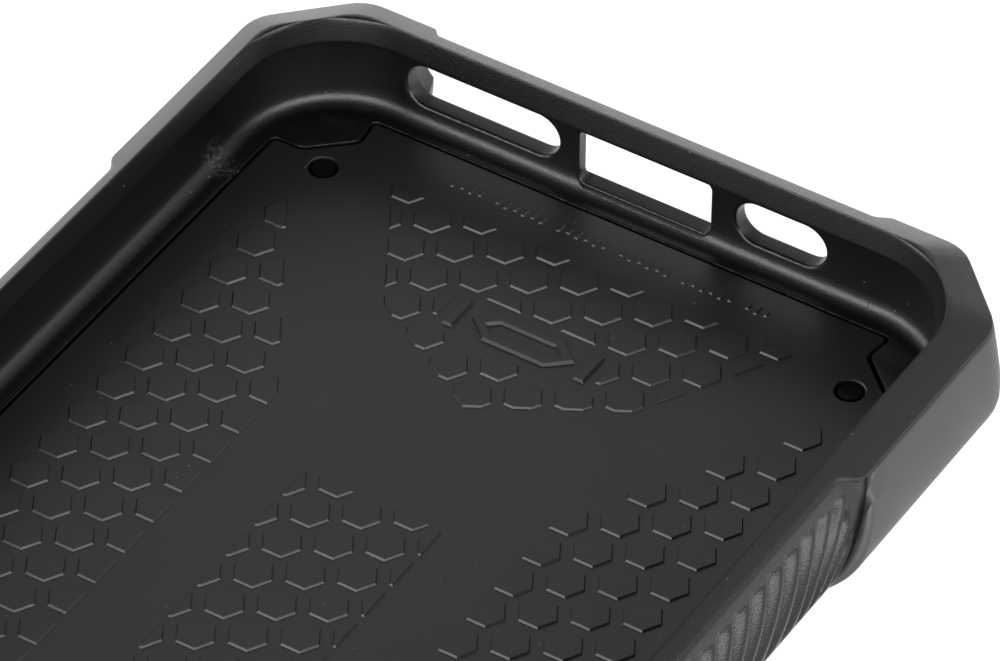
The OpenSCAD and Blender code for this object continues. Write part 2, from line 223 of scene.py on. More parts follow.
def eight_sided(half_x, half_y, half_d, round_r):
    """How far each point lies outside a rounded eight-sided plan."""

    def outside(x, y):
        ax, ay = np.abs(x), np.abs(y)
        hx = half_x(ay) if callable(half_x) else half_x
        hy = half_y(ax) if callable(half_y) else half_y
        parts = np.stack([ax - hx, ay - hy, (ax + ay) / ROOT2 - half_d]) + round_r
        inner = parts.max(axis=0)
        side = np.hypot(np.maximum(parts[0], 0), np.maximum(parts[2] - parts[0] / ROOT2, 0) * ROOT2)
        end = np.hypot(np.maximum(parts[1], 0), np.maximum(parts[2] - parts[1] / ROOT2, 0) * ROOT2)
        use_side = (parts[0] > 0) & (parts[2] > parts[0] / ROOT2) & (parts[2] * ROOT2 > parts[0])
        use_end = (parts[1] > 0) & (parts[2] > parts[1] / ROOT2) & (parts[2] * ROOT2 > parts[1])
        use_side &= parts[2] < parts[0] * ROOT2
        use_end &= parts[2] < parts[1] * ROOT2
        near = np.where(use_side, side, np.where(use_end, end, inner))
        return near - round_r

    return outside


def rounded_rectangle(half_x, half_y, r):
    def outside(x, y):
        ax, ay = np.abs(x) - half_x + r, np.abs(y) - half_y + r
        return np.hypot(np.maximum(ax, 0), np.maximum(ay, 0)) + np.minimum(np.maximum(ax, ay), 0) - r

    return outside


def reach(outside, low=-14.0, high=9.0):
    """Each station's distance along its direction to the edge of a plan."""
    a, b = np.full(COUNT, low), np.full(COUNT, high)
    for _ in range(40):
        m = (a + b) / 2
        p = BASE + OUT * m[:, None]
        inside = outside(p[:, 0], p[:, 1]) < 0
        a, b = np.where(inside, m, a), np.where(inside, b, m)
    return (a + b) / 2


def arm_plan(mid, block, d, side_ramp, end_ramp):
    """Reach to a plan that steps out from its middle size to its block size over the arms' ends."""
    return reach(
        eight_sided(
            lambda y: mix(mid[0], block[0], smooth_step(y, *side_ramp)),
            lambda x: mix(mid[1], block[1], smooth_step(x, *end_ramp)),
            d,
            PLAN_ROUND,
        )
    )


def column(distance, height):
    return np.stack(np.broadcast_arrays(distance, np.asarray(height, float)), axis=1)


def block_weight(side_ramp, end_ramp):
    """1 where the armour wraps a corner, 0 between the arms."""
    on_side = np.abs(OUT[:, 0]) > 0.9999
    on_end = np.abs(OUT[:, 1]) > 0.9999
    w = np.ones(COUNT)
    w[on_side] = smooth_step(np.abs(BASE[on_side, 1]), *side_ramp)
    w[on_end] = smooth_step(np.abs(BASE[on_end, 0]), *end_ramp)
    return w


def loft_points(sections):
    """Stations by section points in (distance, height) to points in space."""
    xy = BASE[:, None, :] + OUT[:, None, :] * sections[:, :, :1]
    return np.concatenate([xy, sections[:, :, 1:]], axis=2)


def loft_faces(rings, first=0):
    """Quads between neighbouring stations, with the section left open."""
    faces = []
    for i in range(COUNT):
        j = (i + 1) % COUNT
        for k in range(rings - 1):
            a, b = first + i * rings + k, first + j * rings + k
            faces.append((a, b, b + 1, a + 1))
    return faces


# ---------------------------------------------------------------- flat faces with holes


def outline_with_rounds(points, radius, steps=5):
    """A closed outline in which each corner is rounded."""
    out = []
    n = len(points)
    for i, (x, y) in enumerate(points):
        p, q = Vector(points[i - 1]), Vector(points[(i + 1) % n])
        c = Vector((x, y))
        r = radius[i] if isinstance(radius, (list, tuple)) else radius
        a = c + (p - c).normalized() * min(r, 0.48 * (p - c).length)
        b = c + (q - c).normalized() * min(r, 0.48 * (q - c).length)
        for k in range(steps + 1):
            t = k / steps
            out.append(tuple((1 - t) ** 2 * a + 2 * t * (1 - t) * c + t * t * b))
    return out


def rounded_rect_points(cx, cy, half_x, half_y, r, steps=12):
    points = []
    for q, (sx, sy) in enumerate([(1, 1), (-1, 1), (-1, -1), (1, -1)]):
        for k in range(steps + 1):
            a = math.radians(90 * q + 90 * k / steps)
            points.append((cx + sx * (half_x - r) + r * math.cos(a), cy + sy * (half_y - r) + r * math.sin(a)))
    return points


def circle_points(cx, cy, r, steps=40):
    turns = [2 * math.pi * k / steps for k in range(steps)]
    return [(cx + r * math.cos(a), cy + r * math.sin(a)) for a in turns]


def inset_outline(points, distance):
    """An outline moved inwards by a distance; negative moves it outwards."""
    n = len(points)
    area = sum(points[i - 1][0] * points[i][1] - points[i][0] * points[i - 1][1] for i in range(n))
    turn = 1 if area > 0 else -1
    out = []
    for i in range(n):
        a, b, c = Vector(points[i - 1]), Vector(points[i]), Vector(points[(i + 1) % n])
        d1, d2 = (b - a).normalized(), (c - b).normalized()
        n1, n2 = Vector((-d1.y, d1.x)) * turn, Vector((-d2.y, d2.x)) * turn
        m = (n1 + n2).normalized()
        out.append(tuple(b + m * (distance / max(0.5, m.dot(n1)))))
    return out


class Builder:
    """Collects points and faces of one closed piece."""

    def __init__(self):
        self.points, self.faces = [], []

    def add(self, points):
        first = len(self.points)
        self.points.extend([tuple(map(float, p)) for p in points])
        return list(range(first, first + len(points)))

    def loop(self, outline, z):
        return self.add([(x, y, z) for x, y in outline])

    def wall(self, lower, upper):
        n = len(lower)
        for i in range(n):
            j = (i + 1) % n
            self.faces.append((lower[i], lower[j], upper[j], upper[i]))

    def fill(self, *loops):
        """A flat face inside the first loop and outside the others."""
        flat = [i for loop in loops for i in loop]
        outlines = [[Vector((self.points[i][0], self.points[i][1], 0)) for i in loop] for loop in loops]
        for a, b, c in tessellate_polygon(outlines):
            self.faces.append((flat[a], flat[b], flat[c]))

    def stack(self, outline, levels):
        """Loops of one outline at (inset, height) levels, joined by walls."""
        loops = [self.loop(inset_outline(outline, inset) if inset else outline, z) for inset, z in levels]
        for a, b in zip(loops, loops[1:]):
            self.wall(a, b)
        return loops

    def object(self, name, sharp=35):
        return new_object(name, self.points, self.faces, sharp)


# ---------------------------------------------------------------- cutting openings


def cut(piece, cutters):
    """Cuts the closed cutters out of the piece and applies the result."""
    for cutter in cutters:
        m = piece.modifiers.new("cut", "BOOLEAN")
        m.object, m.operation, m.solver = cutter, "DIFFERENCE", "EXACT"
    bpy.context.view_layer.update()
    made = bpy.data.meshes.new_from_object(piece.evaluated_get(bpy.context.evaluated_depsgraph_get()))
    piece.modifiers.clear()
    piece.data = made
    for cutter in cutters:
        bpy.data.objects.remove(cutter)
    made.shade_smooth()
    made.set_sharp_from_angle(angle=math.radians(35))


def flared_cutter(name, outline, face_in, face_out, flare, place):
    """A closed cutter through a wall that flares where it meets both faces.

    outline is in the wall's own plane, face_in and face_out are the depths of the wall's faces,
    and place turns (a, b, depth) into a point in space."""
    steps = 6
    levels = [(-0.0, face_in - 3)]
    levels = [(-flare, face_in - 3)]
    for k in range(steps + 1):
        a = k / steps * math.pi / 2
        levels.append((-flare * (1 - math.sin(a)), face_in + flare * (1 - math.cos(a))))
    for k in range(steps + 1):
        a = (1 - k / steps) * math.pi / 2
        levels.append((-flare * (1 - math.sin(a)), face_out - flare * (1 - math.cos(a))))
    levels.append((-flare, face_out + 3))
    b = Builder()
    rings = []
    for inset, depth in levels:
        ring = inset_outline(outline, inset) if abs(inset) > 1e-6 else outline
        rings.append(b.add([place(u, v, depth) for u, v in ring]))
    for p, q in zip(rings, rings[1:]):
        b.wall(p, q)
    b.faces.append(tuple(rings[0]))
    b.faces.append(tuple(reversed(rings[-1])))
    return b.object(name)


# ---------------------------------------------------------------- bumper

SIDE_RAMP = (ARM_Y - 0.9, ARM_Y + 1.9)
END_RAMP = (ARM_X - 0.1, ARM_X + 1.3)
PORT_Z = FLOOR_Z + 4.2
BUTTON_Z = FLOOR_Z + 3.9


def panel_outline(grow):
    """The seam: a rectangle with notched lower corners, grown by a gap."""
    x, y = PANEL_X + grow, PANEL_Y + grow
    notch_x, notch_y = 6.9, 6.6
    right = [
        (PANEL_X + grow, -PANEL_Y + notch_y - grow),
        (PANEL_X + grow - 0.42 * notch_x, -PANEL_Y + notch_y - grow),
        (PANEL_X + grow - notch_x, -PANEL_Y + 0.45 * notch_y - grow),
        (PANEL_X + grow - 0.93 * notch_x, -y),
    ]
    cut_back = 3
    left = [(-px, py) for px, py in reversed(right)]
    points = [(x - cut_back, y), (-x + cut_back, y), (-x, y - cut_back)]
    points += list(reversed([(-px, py) for px, py in reversed(right)]))[::-1][::-1]
    points = [(x, y - cut_back), (x - cut_back, y), (-x + cut_back, y), (-x, y - cut_back)]
    points += [(-right[0][0], right[0][1]), (-right[1][0], right[1][1])]
    points += [(-right[2][0], right[2][1]), (-right[3][0], right[3][1])]
    points += [right[3], right[2], right[1], right[0]]
    return outline_with_rounds(points, 0.7, 4)


def groove_shape(y, z, side):
    """Depth of the grip's grooves at a point of the side wall."""
    fan = np.clip((-ARM_Y + 9 - y) / 9, 0, 1)
    lean = np.tan(GROOVE_LEAN + fan * math.radians(17))
    along = y + (z - 12.4) * lean + ARM_Y
    phase = along / GROOVE_PITCH
    wave = 0.5 + 0.5 * np.cos(2 * math.pi * phase)
    groove = wave**1.5
    fade_top = smooth_step(12.25 - z, 0, 1.6)
    fade_low = smooth_step(z, 2.5, 4.2)
    start = smooth_step(y, -ARM_Y + 0.2, -ARM_Y + 0.9)
    end = 1 - smooth_step(along, GRIP_END + ARM_Y - 1.5, GRIP_END + ARM_Y - 0.5)
    return groove * fade_top * fade_low * start * end


def bumper_sections():
    mouth = reach(rounded_rectangle(MOUTH_X, MOUTH_Y, MOUTH_R))
    flat = reach(eight_sided(FLAT_X, FLAT_Y, FLAT_D, PLAN_ROUND))
    edge = arm_plan(
        (WALL_X - WALL_LEAN, WALL_Y - 0.1), (CREASE_X, CREASE_Y), CREASE_D, SIDE_RAMP, END_RAMP
    )
    w = block_weight(SIDE_RAMP, END_RAMP)
    under = block_weight((ARM_Y + 2.6, ARM_Y + 4.4), (ARM_X + 0.8, ARM_X + 2.0))
    core = reach(
        eight_sided(ARMOUR_X - ARMOUR_T, ARMOUR_Y - ARMOUR_T, ARMOUR_D - ARMOUR_T, PLAN_ROUND)
    )
    wall = mix(reach(eight_sided(WALL_X, WALL_Y, ARMOUR_D - 1, PLAN_ROUND)), core, under)
    crease = reach(eight_sided(CREASE_X, CREASE_Y, CREASE_D, PLAN_ROUND))
    edge_z = TOP_Z - (edge - flat) * BEVEL[1] / (crease - flat)
    # inner side: floor edge, fillet, wall, hollow under the lip, round nose
    arc = np.linspace(0, math.pi / 2, 11)
    fillet = np.stack(
        [
            np.broadcast_to(-FILLET_R + FILLET_R * np.sin(arc), (COUNT, 11)),
            np.broadcast_to(FLOOR_Z + FILLET_R - FILLET_R * np.cos(arc), (COUNT, 11)),
        ],
        axis=2,
    )
    zero = np.zeros(COUNT)
    under_lip, brow = column(mouth - 0.1, LIP_Z), column(mouth + LIP_SLANT, TOP_Z)
    hollow = soft_corner(column(zero, FLOOR_Z + FILLET_R), column(zero, LIP_Z), under_lip, 0.6, 6)
    nose_line = np.concatenate(
        [
            soft_corner(column(zero, LIP_Z), under_lip, brow, 0.7, 7),
            soft_corner(under_lip, brow, column(flat, TOP_Z), 0.6, 8),
        ],
        axis=1,
    )
    # outer side: flat top, bevel, edge, wall
    top_corner = soft_corner(brow, column(flat, TOP_Z), column(edge, edge_z), 0.45, 5)
    tuck = mix(0.28, -0.55, w)
    turn_z = edge_z - mix(0.75, 0.32, w)
    waist = column(wall, 8.4)
    edge_corner = soft_corner(
        column(flat, TOP_Z), column(edge, edge_z), column(edge + tuck, turn_z), mix(0.55, 0.35, w)[:, None], 6
    )
    turn = soft_corner(
        column(edge, edge_z), column(edge + tuck, turn_z), waist, mix(0.6, 0.2, w)[:, None], 4
    )
    low = column(wall, 3.9)
    foot = column(wall - 1.0, PLATE_Z + 0.05)
    shoulder = soft_corner(column(edge + tuck, turn_z), waist, low, 3.0, 9)
    bottom = soft_corner(waist, low, foot, 2.0, 9)
    side = even_points(np.concatenate([turn[:, -1:], shoulder, bottom, foot[:, None]], axis=1), 44)
    # grip grooves on the two long sides
    place = loft_points(side)
    for i in np.nonzero(np.abs(OUT[:, 0]) > 0.9999)[0]:
        sign = np.sign(OUT[i, 0])
        side[i, :, 0] -= GROOVE_DEPTH * groove_shape(place[i, :, 1], side[i, :, 1], sign)
    inner_foot = column(np.full(COUNT, -FILLET_R), PLATE_Z + 0.05)
    line = np.concatenate(
        [fillet, hollow, nose_line, top_corner, edge_corner, turn, side[:, 1:], inner_foot[:, None]],
        axis=1,
    )
    return line


def end_outline(x0, x1, half_h, r):
    """A rounded slot in the end wall, in (x, height above the openings' middle)."""
    return rounded_rect_points((x0 + x1) / 2, 0, (x1 - x0) / 2, half_h, r, 10)


PORT_OUTLINE = rounded_rect_points(-0.2, -0.4, 6.8, 3.0, 0.9, 8)
SPEAKER_OUTLINE = end_outline(8.7, 24.7, 2.25, 2.2)
SWITCH_OUTLINE = rounded_rect_points(POCKET_Y - 33, 0, 5.5, 2.4, 2.0, 8)


def at_end(u, v, depth):
    """From across, up and depth to a point on the connector end."""
    return (u, -depth, PORT_Z + v)


def at_left(u, v, depth):
    """From along, up and depth to a point on the wall with the switch."""
    return (-depth, u, BUTTON_Z + v)


def at_right(u, v, depth):
    return (depth, u, BUTTON_Z + v)


def from_below(u, v, depth):
    return (u, v, depth)


def recess_cutter(place):
    """The wider recess outside the connector's opening, with a rounded inner edge."""
    start = POCKET_Y + 1.2
    b = Builder()
    rings = []
    for grow, depth in ((-0.3, start), (0, start + 0.3), (0, WALL_Y - 0.3), (0.3, WALL_Y), (0.5, WALL_Y + 3)):
        ring = rounded_rect_points(0, 0, 9.1 + grow, 3.4 + grow, 1.6 + grow, 8)
        rings.append(b.add([place(u, v, depth) for u, v in ring]))
    for p, q in zip(rings, rings[1:]):
        b.wall(p, q)
    b.faces.append(tuple(rings[0]))
    b.faces.append(tuple(rings[-1]))
    return b.object("cut_recess")


def make_bumper():
    sections = bumper_sections()
    rings = sections.shape[1]
    b = Builder()
    b.add(loft_points(sections).reshape(-1, 3))
    b.faces.extend(loft_faces(rings))
    foot_top = [i * rings for i in range(COUNT)]
    foot_low = [i * rings + rings - 1 for i in range(COUNT)]
    seam = panel_outline(0.22)
    seam_top = b.loop(inset_outline(seam, -0.18), FLOOR_Z)
    seam_round = b.loop(inset_outline(seam, -0.07), FLOOR_Z - 0.05)
    seam_edge = b.loop(seam, FLOOR_Z - 0.2)
    seam_low = b.loop(seam, PLATE_Z + 0.05)
    b.fill(foot_top, seam_top)
    b.wall(seam_top, seam_round)
    b.wall(seam_round, seam_edge)
    b.wall(seam_edge, seam_low)
    b.fill(foot_low, seam_low)
    piece = b.object("bumper_soft")

    cutters = [
        flared_cutter("cut_port", PORT_OUTLINE, POCKET_Y, WALL_Y, 0.2, at_end),
        flared_cutter("cut_speaker", SPEAKER_OUTLINE, POCKET_Y, WALL_Y, 0.35, at_end),
        flared_cutter("cut_mic", end_outline(-18.7, -9.5, 2.25, 2.2), POCKET_Y, WALL_Y, 0.35, at_end),
        recess_cutter(at_end),
    ]
    for name, node, place in (
        ("cut_up", "volume_up_button", at_left),
        ("cut_down", "volume_down_button", at_left),
        ("cut_key", "side_button", at_right),
    ):
        low, high = box_mm(node)
        half = (high.y - low.y) / 2 - 0.7 + 0.2
        outline = rounded_rect_points((low.y + high.y) / 2, 0, half, 2.2, 0.6, 6)
        cutters.append(flared_cutter(name, outline, POCKET_X, WALL_X, 0.2, place))
    cutters.append(flared_cutter("cut_switch", SWITCH_OUTLINE, POCKET_X, WALL_X, 0.35, at_left))
    cut(piece, cutters)
    return piece


# ---------------------------------------------------------------- armour

ARM_LEAN = (0.45, 0.0)
ARM_STEP = (2.0, 0.7)


def armour_weight(heights):
    """1 on the corner blocks and 0 between the arms, whose ends lean by ARM_LEAN."""
    w = np.ones(heights.shape)
    for axis, arm in ((0, ARM_Y), (1, ARM_X + 1.1)):
        on = np.abs(OUT[:, axis]) > 0.9999
        end = arm + (heights[on] - 8.5) * ARM_LEAN[axis]
        along = np.abs(BASE[on, 1 - axis])[:, None]
        w[on] = smooth_step(along - end, -ARM_STEP[axis], ARM_STEP[axis])
    return w


def armour_profile(outer, crease, top_z, swell_z, low_z, bulge):
    """One profile for every station, from the inner foot over the top and down to the back."""
    inner_low = column(outer - 3.2, PLATE_Z)
    inner_top = column(crease - 1.2, top_z)
    lip = column(crease - 0.06, top_z)
    swell, low = column(outer, swell_z), column(outer - bulge, low_z)
    back, back_in = column(outer - EDGE_R + 0.9, 0), column(outer - EDGE_R - 0.6, 0)
    corners = [
        soft_corner(lip, swell, low, 3.2, 9),
        soft_corner(swell, low, back, 2.6, 9),
        soft_corner(low, back, back_in, 1.6, 7),
    ]
    outer_line = even_points(np.concatenate(corners + [back_in[:, None]], axis=1), 34)
    top = soft_corner(inner_top, lip, swell, 0.3, 5)
    return np.concatenate([inner_low[:, None], inner_top[:, None], top, outer_line], axis=1)


def armour_sections():
    outer = reach(eight_sided(ARMOUR_X, ARMOUR_Y, ARMOUR_D, PLAN_ROUND))
    crease = reach(eight_sided(CREASE_X, CREASE_Y, CREASE_D, PLAN_ROUND))
    block = armour_profile(outer, crease, CREASE_Z - 0.22, 7.2, 3.3, 0)
    wall = reach(eight_sided(WALL_X, WALL_Y, ARMOUR_D - 1, PLAN_ROUND)) - 1.05
    plate = armour_profile(wall, wall - 0.2, PLATE_Z - 0.02, PLATE_Z - 0.2, PLATE_Z - 0.9, 0.6)
    w = armour_weight(block[:, :, 1])[:, :, None]
    return mix(plate, block, w)


def recess_outline(gap):
    x = PANEL_X - 2 - gap
    y0, y1 = trim_low.y - 0.1 + gap, upper_trim_high.y + 0.1 - gap
    c = 4
    points = [(x, y0 + c), (x, y1 - c), (x - c, y1), (-x + c, y1)]
    points += [(-x, y1 - c), (-x, y0 + c), (-x + c, y0), (x - c, y0)]
    return outline_with_rounds(points, 0.5, 3)


def camera_outline(grow):
    cx, cy = (guard_low.x + guard_high.x) / 2, (guard_low.y + guard_high.y) / 2
    half_x, half_y = (guard_high.x - guard_low.x) / 2, (guard_high.y - guard_low.y) / 2
    rim = 2
    return rounded_rect_points(cx, cy, half_x - rim + grow, half_y - rim + grow, 8 + grow, 12)


def make_armour():
    sections = armour_sections()
    rings = sections.shape[1]
    b = Builder()
    b.add(loft_points(sections).reshape(-1, 3))
    b.faces.extend(loft_faces(rings))
    inner = [i * rings for i in range(COUNT)]
    back = [i * rings + rings - 1 for i in range(COUNT)]
    recess = recess_outline(0)
    recess_low = b.loop(inset_outline(recess, -0.3), 0)
    recess_edge = b.loop(recess, 0.3)
    recess_top = b.loop(recess, inlay_high.z + 0.02)
    b.fill(back, recess_low)
    b.fill(inner)
    b.wall(recess_low, recess_edge)
    b.wall(recess_edge, recess_top)
    b.fill(recess_top)
    piece = b.object("back_armour")
    slot = inset_outline(SPEAKER_OUTLINE, -0.2)
    switch = inset_outline(SWITCH_OUTLINE, -0.25)
    cut(piece, [
        flared_cutter("cut_armour", slot, WALL_Y - 2, ARMOUR_Y, 0.3, at_end),
        flared_cutter("cut_armour_side", switch, WALL_X - 2, ARMOUR_X, 0.3, at_left),
        flared_cutter("cut_armour_camera", camera_outline(2.08), 0, PLATE_Z, 0.25, from_below),
    ])
    return piece


# ---------------------------------------------------------------- inner panel

HEX_PITCH = 4.4
HEX_R = 1.93
HEX_H = 0.17
HEX_SLOPE = 0.12
HEX_Y0 = -1.37
EMBLEM = (7.2, -55.7, -51.7)
EMBLEM_GAP = 0.9


def clip(polygon, keep):
    """The part of a convex outline where keep(x, y), which is linear, isn't negative."""
    out = []
    for i, b in enumerate(polygon):
        a = polygon[i - 1]
        va, vb = keep(*a), keep(*b)
        if (va >= 0) != (vb >= 0):
            t = va / (va - vb)
            out.append((a[0] + (b[0] - a[0]) * t, a[1] + (b[1] - a[1]) * t))
        if vb >= 0:
            out.append(b)
    return out


def area_of(polygon):
    n = len(polygon)
    return abs(sum(polygon[i - 1][0] * polygon[i][1] - polygon[i][0] * polygon[i - 1][1] for i in range(n))) / 2


def slope_line(s, x0, y0, k):
    """Zero on the line through (x0, y0) with slope k, positive above it, with x mirrored by s."""
    return lambda x, y: (y - y0) - k * (s * x - x0)


def flipped(line):
    return lambda x, y: -line(x, y)


def relief_regions():
    """Convex regions of the hexagon relief, each a list of half planes."""
    low_end = 27.0
    regions = []
    for s in (-1, 1):
        regions.append(
            [
                lambda x, y, s=s: s * x - 14.3,
                lambda x, y, s=s: 29.0 - s * x,
                slope_line(s, 20, -46, -1.65),
                flipped(slope_line(s, 20, 30, -1.65)),
                lambda x, y: 34.5 - y,
            ]
        )
    chevron = [lambda x, y: y + 64.9]
    for s in (-1, 1):
        chevron.append(flipped(slope_line(s, 0, -43.7, -0.577)))
        chevron.append(flipped(slope_line(s, 17.9, -60, -1.732)))
    regions.append(chevron)
    regions.append([lambda x, y: y + 29.7, lambda x, y: 7 - x, lambda x, y: x + 7, lambda x, y: low_end - y])
    return regions


def relief_cells():
    """Outlines of the raised hexagons, cut at the edges of their regions."""
    half_x, y0, y1 = EMBLEM[0] + EMBLEM_GAP, EMBLEM[1] - EMBLEM_GAP, EMBLEM[2] + EMBLEM_GAP
    emblem_sides = [
        lambda x, y: x - half_x,
        lambda x, y: -half_x - x,
        lambda x, y: y - y1,
        lambda x, y: y0 - y,
    ]
    full = 1.5 * math.sqrt(3) * HEX_R**2
    cells = []
    for k in range(-8, 9):
        for m in range(-20, 20):
            cx = HEX_PITCH * math.sqrt(3) / 2 * k
            cy = HEX_Y0 + HEX_PITCH * (m + (k % 2) / 2)
            hexagon = [
                (cx + HEX_R * math.cos(a), cy + HEX_R * math.sin(a))
                for a in (math.radians(60 * i) for i in range(6))
            ]
            for region in relief_regions():
                piece = hexagon
                for side in region:
                    piece = clip(piece, side) if len(piece) > 2 else []
                if len(piece) > 2 and region is not None:
                    kept = [clip(piece, side) for side in emblem_sides]
                    kept = [p for p in kept if len(p) > 2]
                    piece = max(kept, key=area_of) if kept else []
                if len(piece) > 2 and area_of(piece) > 0.12 * full:
                    cells.append(piece)
                    break
    return cells


def tidy(polygon, least=0.12):
    out = []
    for p in polygon:
        if not out or math.dist(p, out[-1]) > least:
            out.append(p)
    if len(out) > 2 and math.dist(out[0], out[-1]) <= least:
        out.pop()
    return out


def make_panel():
    b = Builder()
    edge = panel_outline(0.0)
    rim_low = b.loop(edge, panel_low.z)
    rim_edge = b.loop(edge, FLOOR_Z - 0.22)
    rim_round = b.loop(inset_outline(edge, 0.06), FLOOR_Z - 0.09)
    rim_top = b.loop(inset_outline(edge, 0.16), FLOOR_Z)
    b.wall(rim_low, rim_edge)
    b.wall(rim_edge, rim_round)
    b.wall(rim_round, rim_top)
    holes_top, holes_low = [], []
    camera = camera_outline(0.86)
    camera_top = b.loop(inset_outline(camera, -0.12), FLOOR_Z)
    camera_edge = b.loop(camera, FLOOR_Z - 0.12)
    camera_low = b.loop(camera, panel_low.z)
    b.wall(camera_top, camera_edge)
    b.wall(camera_edge, camera_low)
    holes_top.append(camera_top)
    holes_low.append(camera_low)
    for node in ("upper_left", "upper_right", "lower_left", "lower_right"):
        low, high = box_mm(node + "_insert")
        x, y = (low.x + high.x) / 2, (low.y + high.y) / 2
        ring = b.loop(circle_points(x, y, 1.5), FLOOR_Z)
        lip = b.loop(circle_points(x, y, 1.38), FLOOR_Z - 0.1)
        foot = b.loop(circle_points(x, y, 1.38), panel_low.z)
        b.wall(ring, lip)
        b.wall(lip, foot)
        holes_top.append(ring)
        holes_low.append(foot)
    for cell in relief_cells():
        cell = tidy(cell)
        if len(cell) < 3:
            continue
        foot = b.loop(cell, FLOOR_Z)
        top = b.loop(inset_outline(cell, HEX_SLOPE), FLOOR_Z + HEX_H)
        b.wall(foot, top)
        b.faces.append(tuple(top))
        holes_top.append(foot)
    add_emblem(b, holes_top)
    add_tick_row(b, holes_top)
    b.fill(rim_top, *holes_top)
    b.fill(rim_low, *holes_low)
    return b.object("inner_panel_relief", sharp=20)


def raised(b, outline, height, slope, holes_top):
    """A raised shape with sloping sides that stands on the panel."""
    foot = b.loop(outline, FLOOR_Z)
    top = b.loop(inset_outline(outline, slope), FLOOR_Z + height)
    b.wall(foot, top)
    b.faces.append(tuple(top))
    holes_top.append(foot)


def add_emblem(b, holes_top):
    """A plain mark: a long hexagon between two short bars."""
    half_x, y0, y1 = EMBLEM
    mid = (y0 + y1) / 2
    tall = (y1 - y0) / 2 - 0.15
    point = 2.1
    body = [(3.2 + point, mid), (3.2, mid + tall), (-3.2, mid + tall)]
    body += [(-3.2 - point, mid), (-3.2, mid - tall), (3.2, mid - tall)]
    inner = inset_outline(body, 1.05)
    foot, hole = b.loop(body, FLOOR_Z), b.loop(inner, FLOOR_Z)
    top, hole_top = b.loop(inset_outline(body, 0.15), FLOOR_Z + 0.3), b.loop(inset_outline(inner, -0.15), FLOOR_Z + 0.3)
    b.wall(foot, top)
    b.wall(hole, hole_top)
    b.fill(top, hole_top)
    b.fill(hole)
    holes_top.append(foot)
    for s in (-1, 1):
        x0, x1 = 4.1, 5.2
        bar = [(x0 + point, mid + tall), (x1 + point, mid + tall), (x1 + point, mid - tall), (x0 + point, mid - tall)]
        bar = [(s * x, y) for x, y in bar]
        raised(b, bar if s > 0 else bar[::-1], 0.3, 0.15, holes_top)


def add_tick_row(b, holes_top):
    """A row of small pips along the connector end of the panel."""
    row_y, step, half = -68.1, 0.92, 16.1
    count = int(2 * half / step)
    for i in range(count + 1):
        if i % 7 == 3:
            continue
        x = -half + i * step
        tall = 0.55 if i % 2 else 0.36
        pip = [(x - 0.2, row_y - tall), (x + 0.2, row_y - tall), (x + 0.2, row_y + tall), (x - 0.2, row_y + tall)]
        raised(b, pip, 0.12, 0.1, holes_top)


# ---------------------------------------------------------------- inlay and buttons


def make_inlay():
    """A thin padded leaf between the two trims, with a softly rounded edge."""
    gap = 0.12
    x = PANEL_X - 2 - gap
    y0, y1 = inlay_low.y + gap, inlay_high.y - gap
    outline = outline_with_rounds([(x, y0), (x, y1), (-x, y1), (-x, y0)], 0.9, 5)
    b = Builder()
    base_z, face_z = inlay_high.z, inlay_low.z + 0.02
    loops = b.stack(
        outline,
        [(0, base_z), (0, face_z + 0.32), (0.12, face_z + 0.14), (0.4, face_z + 0.03), (1.1, face_z)],
    )
    b.fill(loops[0])
    b.fill(loops[-1])
    return b.object("inlay_leaf", sharp=50)


def make_button(name, node, inward):
    """A cap with rounded edges and a hollow along its middle; inward is -1 or 1 along X."""
    low, high = box_mm(node)
    cy, cz = (low.y + high.y) / 2, (low.z + high.z) / 2
    half_y, half_z = (high.y - low.y) / 2 - 0.7, (high.z - low.z) / 2 - 0.7
    foot_x = high.x if inward > 0 else low.x
    face_x = low.x if inward > 0 else high.x
    stages = [(0.7, 0.0), (0.7, 0.6), (0.0, 0.62)]
    depth = abs(face_x - foot_x)
    rise = [(0.0, depth - 0.5), (-0.06, depth - 0.22), (-0.22, depth - 0.06), (-0.5, depth)]
    dish = [(-0.95, depth - 0.03), (-1.25, depth - 0.14), (-1.5, depth - 0.17)]
    b = Builder()
    rings = []
    for grow, out in stages + rise + dish:
        r = max(0.18, 0.6 + grow)
        ring = rounded_rect_points(cy, cz, half_y + grow, half_z + grow, r, 6)
        x_at = foot_x - inward * out
        rings.append(b.add([(x_at, u, v) for u, v in ring]))
    for p, q in zip(rings, rings[1:]):
        b.wall(p, q)
    b.faces.append(tuple(rings[0]))
    b.faces.append(tuple(rings[-1]))
    return b.object(name)


# ---------------------------------------------------------------- materials


def node_at(tree, kind, **values):
    node = tree.nodes.new(kind)
    for name, value in values.items():
        if name in node.inputs:
            node.inputs[name].default_value = value
        else:
            setattr(node, name, value)
    return node


